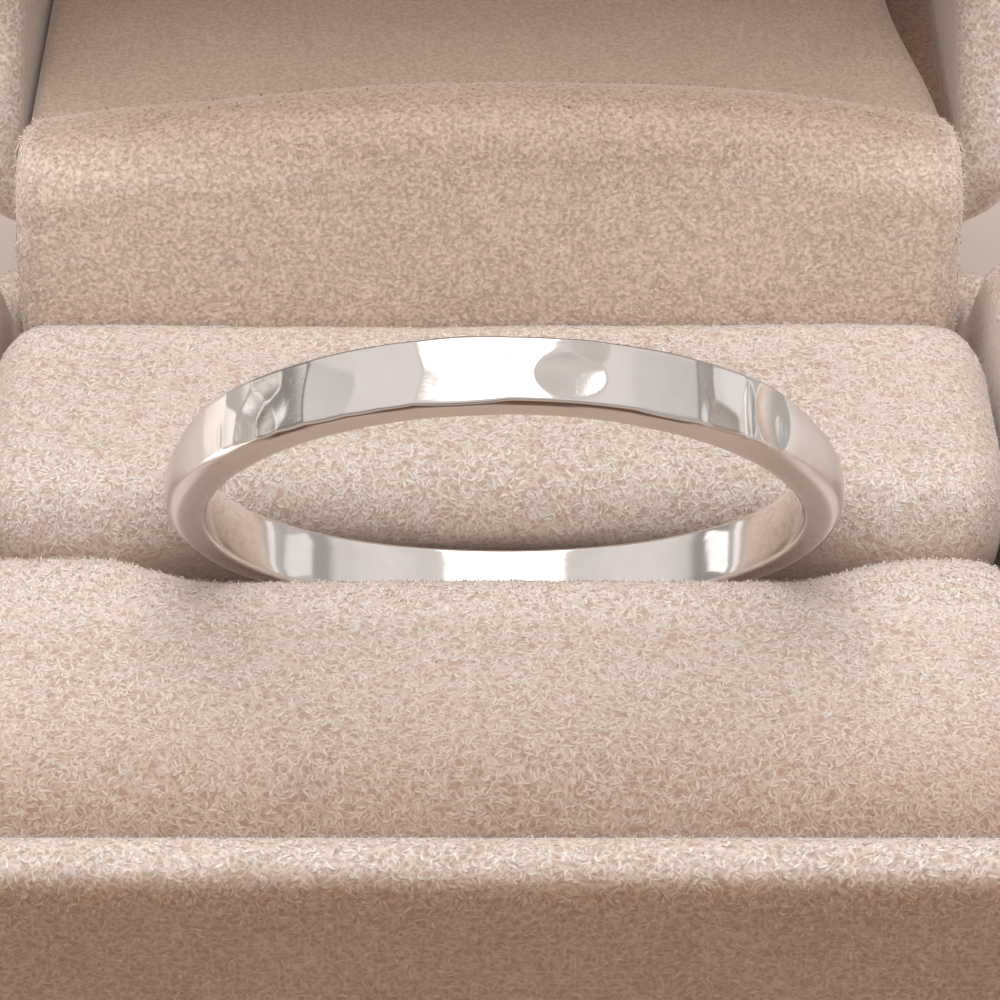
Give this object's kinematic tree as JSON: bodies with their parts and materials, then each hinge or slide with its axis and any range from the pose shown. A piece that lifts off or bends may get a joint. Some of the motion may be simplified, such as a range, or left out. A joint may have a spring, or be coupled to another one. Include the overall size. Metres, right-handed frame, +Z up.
{
  "type": "midi ring in a ring box",
  "caption": "Small plain silver band with a hammered top, held upright in the slot of an open velvet ring box with a hinged lid.",
  "frame": {"origin": "middle of the underside of the box base", "axes": "+X to the right across the box, +Y from the front of the box to its hinge, +Z up"},
  "size_m": [0.0352, 0.055, 0.0453],
  "materials": {
    "polished_silver": "polished sterling silver, hammered by hand over the top",
    "roll_velvet": "short beige pile, matt with a pale sheen",
    "lining_velvet": "short beige pile, matt",
    "shell_velvet": "beige velvet flock over a moulded shell",
    "hinge_steel": "bare drawn wire"
  },
  "bodies": {
    "base": {"box_base": "shell_velvet", "ring_band": "polished_silver", "front_roll": "roll_velvet", "back_roll": "roll_velvet", "hinge_pad": "roll_velvet", "hinge_pin": "hinge_steel"},
    "lid": {"lid_shell": "shell_velvet", "lid_lining": "lining_velvet"}
  },
  "joints": [
    {"name": "lid_hinge", "type": "hinge", "parent": "base", "child": "lid", "pos_m": [0, 0.01735, 0.0106], "axis": [1, 0, 0], "range_deg": [0, 90]}
  ]
}
